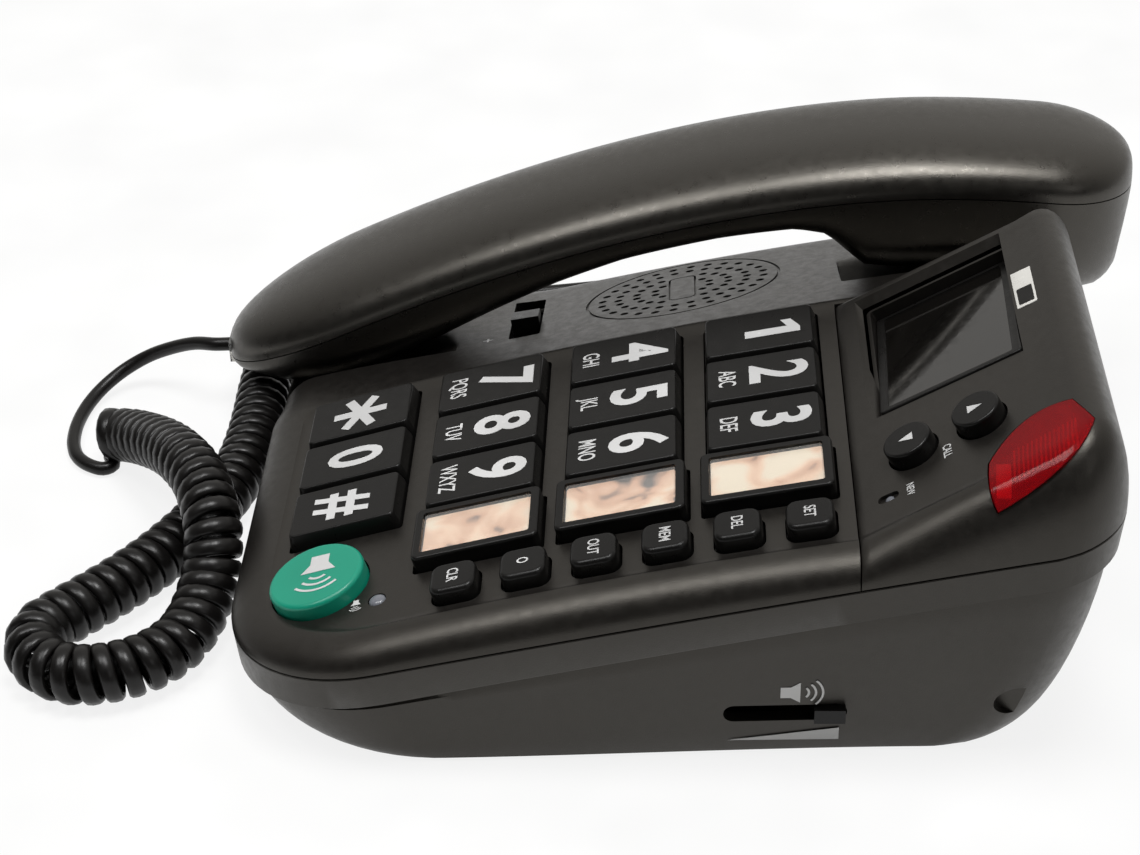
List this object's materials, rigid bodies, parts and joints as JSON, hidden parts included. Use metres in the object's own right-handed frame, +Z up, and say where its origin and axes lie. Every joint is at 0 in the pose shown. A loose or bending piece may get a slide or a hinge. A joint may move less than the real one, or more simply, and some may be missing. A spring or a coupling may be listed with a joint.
{
  "type": "caller ID telephone",
  "caption": "Corded desk telephone with large keys, three picture keys, a tilted caller display, a red call lamp and a handset on a curly cord.",
  "frame": {"origin": "table level under the telephone, middle of the base's width and of the handset's length", "axes": "+X to the user's right, +Y to the back, +Z up from the table"},
  "size_m": [0.1887, 0.2578, 0.0791],
  "materials": {
    "casing": "satin black, fine texture",
    "keys": "satin charcoal with white marks",
    "green": "gloss green",
    "clear": "clear gloss",
    "lens": "translucent red",
    "display": "dark gloss",
    "rubber": "matte black",
    "board": "satin green",
    "steel": "brushed",
    "cord": "satin black"
  },
  "bodies": {
    "base": {"lower_housing": "casing", "keypad_cover": "casing", "display_cover": "casing", "lamp_lens": "lens", "lamp_post": "clear", "display_window": "display", "display_module": "display", "loudspeaker": "steel", "main_board": "board", "key_mat": "rubber", "foot_front_left": "rubber", "foot_front_right": "rubber", "foot_rear_left": "rubber", "foot_rear_right": "rubber", "screw_front_left": "steel", "screw_front_right": "steel", "screw_rear_left": "steel", "screw_rear_right": "steel", "line_jack": "casing", "cord_jack": "casing", "base_plug": "clear", "cord_lead": "cord", "cord_coil": "cord", "cord_tail": "cord"},
    "handset": {"handset_outer_shell": "casing", "handset_inner_shell": "casing", "earpiece": "steel", "microphone": "steel", "handset_plug": "clear"},
    "battery_door": {"battery_door": "casing"},
    "hook_plunger": {"hook_plunger": "keys"},
    "volume_slider": {"volume_slider": "keys"},
    "ringer_slider": {"ringer_slider": "keys"},
    "key_star": {"key_star": "keys"},
    "key_0": {"key_0": "keys"},
    "key_hash": {"key_hash": "keys"},
    "key_7": {"key_7": "keys"},
    "key_8": {"key_8": "keys"},
    "key_9": {"key_9": "keys"},
    "key_4": {"key_4": "keys"},
    "key_5": {"key_5": "keys"},
    "key_6": {"key_6": "keys"},
    "key_1": {"key_1": "keys"},
    "key_2": {"key_2": "keys"},
    "key_3": {"key_3": "keys"},
    "photo_key_1": {"photo_key_1": "keys", "photo_window_1": "clear"},
    "photo_key_2": {"photo_key_2": "keys", "photo_window_2": "clear"},
    "photo_key_3": {"photo_key_3": "keys", "photo_window_3": "clear"},
    "function_key_1": {"function_key_1": "keys"},
    "function_key_2": {"function_key_2": "keys"},
    "function_key_3": {"function_key_3": "keys"},
    "function_key_4": {"function_key_4": "keys"},
    "function_key_5": {"function_key_5": "keys"},
    "function_key_6": {"function_key_6": "keys"},
    "speaker_button": {"speaker_button": "green"},
    "nav_button_down": {"nav_button_down": "keys"},
    "nav_button_up": {"nav_button_up": "keys"}
  },
  "joints": [
    {"name": "key_star_press", "type": "slide", "parent": "base", "child": "key_star", "axis": [0, -0.2825, 0.9593], "range_m": [-0.0015, 0], "stiffness_N_per_m": 300},
    {"name": "key_0_press", "type": "slide", "parent": "base", "child": "key_0", "axis": [0, -0.2825, 0.9593], "range_m": [-0.0015, 0], "stiffness_N_per_m": 300},
    {"name": "key_hash_press", "type": "slide", "parent": "base", "child": "key_hash", "axis": [0, -0.2825, 0.9593], "range_m": [-0.0015, 0], "stiffness_N_per_m": 300},
    {"name": "key_7_press", "type": "slide", "parent": "base", "child": "key_7", "axis": [0, -0.2517, 0.9678], "range_m": [-0.0015, 0], "stiffness_N_per_m": 300},
    {"name": "key_8_press", "type": "slide", "parent": "base", "child": "key_8", "axis": [0, -0.2517, 0.9678], "range_m": [-0.0015, 0], "stiffness_N_per_m": 300},
    {"name": "key_9_press", "type": "slide", "parent": "base", "child": "key_9", "axis": [0, -0.2517, 0.9678], "range_m": [-0.0015, 0], "stiffness_N_per_m": 300},
    {"name": "key_4_press", "type": "slide", "parent": "base", "child": "key_4", "axis": [0, -0.2202, 0.9755], "range_m": [-0.0015, 0], "stiffness_N_per_m": 300},
    {"name": "key_5_press", "type": "slide", "parent": "base", "child": "key_5", "axis": [0, -0.2202, 0.9755], "range_m": [-0.0015, 0], "stiffness_N_per_m": 300},
    {"name": "key_6_press", "type": "slide", "parent": "base", "child": "key_6", "axis": [0, -0.2202, 0.9755], "range_m": [-0.0015, 0], "stiffness_N_per_m": 300},
    {"name": "key_1_press", "type": "slide", "parent": "base", "child": "key_1", "axis": [0, -0.1879, 0.9822], "range_m": [-0.0015, 0], "stiffness_N_per_m": 300},
    {"name": "key_2_press", "type": "slide", "parent": "base", "child": "key_2", "axis": [0, -0.1879, 0.9822], "range_m": [-0.0015, 0], "stiffness_N_per_m": 300},
    {"name": "key_3_press", "type": "slide", "parent": "base", "child": "key_3", "axis": [0, -0.1879, 0.9822], "range_m": [-0.0015, 0], "stiffness_N_per_m": 300},
    {"name": "photo_key_1_press", "type": "slide", "parent": "base", "child": "photo_key_1", "axis": [0, -0.2517, 0.9678], "range_m": [-0.0015, 0], "stiffness_N_per_m": 300},
    {"name": "photo_key_2_press", "type": "slide", "parent": "base", "child": "photo_key_2", "axis": [0, -0.2202, 0.9755], "range_m": [-0.0015, 0], "stiffness_N_per_m": 300},
    {"name": "photo_key_3_press", "type": "slide", "parent": "base", "child": "photo_key_3", "axis": [0, -0.1879, 0.9822], "range_m": [-0.0015, 0], "stiffness_N_per_m": 300},
    {"name": "function_key_1_press", "type": "slide", "parent": "base", "child": "function_key_1", "axis": [0, -0.2556, 0.9668], "range_m": [-0.0012, 0], "stiffness_N_per_m": 300},
    {"name": "function_key_2_press", "type": "slide", "parent": "base", "child": "function_key_2", "axis": [0, -0.2407, 0.9706], "range_m": [-0.0012, 0], "stiffness_N_per_m": 300},
    {"name": "function_key_3_press", "type": "slide", "parent": "base", "child": "function_key_3", "axis": [0, -0.2256, 0.9742], "range_m": [-0.0012, 0], "stiffness_N_per_m": 300},
    {"name": "function_key_4_press", "type": "slide", "parent": "base", "child": "function_key_4", "axis": [0, -0.2103, 0.9776], "range_m": [-0.0012, 0], "stiffness_N_per_m": 300},
    {"name": "function_key_5_press", "type": "slide", "parent": "base", "child": "function_key_5", "axis": [0, -0.1948, 0.9808], "range_m": [-0.0012, 0], "stiffness_N_per_m": 300},
    {"name": "function_key_6_press", "type": "slide", "parent": "base", "child": "function_key_6", "axis": [0, -0.1792, 0.9838], "range_m": [-0.0012, 0], "stiffness_N_per_m": 300},
    {"name": "speaker_button_press", "type": "slide", "parent": "base", "child": "speaker_button", "axis": [0, -0.2861, 0.9582], "range_m": [-0.0015, 0], "stiffness_N_per_m": 300},
    {"name": "nav_button_down_press", "type": "slide", "parent": "base", "child": "nav_button_down", "axis": [0, -0.497, 0.8678], "range_m": [-0.0012, 0], "stiffness_N_per_m": 300},
    {"name": "nav_button_up_press", "type": "slide", "parent": "base", "child": "nav_button_up", "axis": [0, -0.497, 0.8678], "range_m": [-0.0012, 0], "stiffness_N_per_m": 300},
    {"name": "volume_slide", "type": "slide", "parent": "base", "child": "volume_slider", "axis": [0.9569, 0, 0.2906], "range_m": [-0.0165, 0.0085]},
    {"name": "ringer_slide", "type": "slide", "parent": "base", "child": "ringer_slider", "axis": [0, 1, 0], "range_m": [-0.018, 0.0002]},
    {"name": "battery_door_slide", "type": "slide", "parent": "base", "child": "battery_door", "axis": [0, -1, 0], "range_m": [0, 0.006]},
    {"name": "handset_lift", "type": "slide", "parent": "base", "child": "handset", "axis": [0, 0, 1], "range_m": [0, 0.08]},
    {"name": "hook_rise", "type": "slide", "parent": "base", "child": "hook_plunger", "axis": [0, 0, 1], "range_m": [0, 0.004]}
  ],
  "couplings": [
    {"joint": "hook_rise", "follows": "handset_lift", "ratio": 0.05}
  ]
}
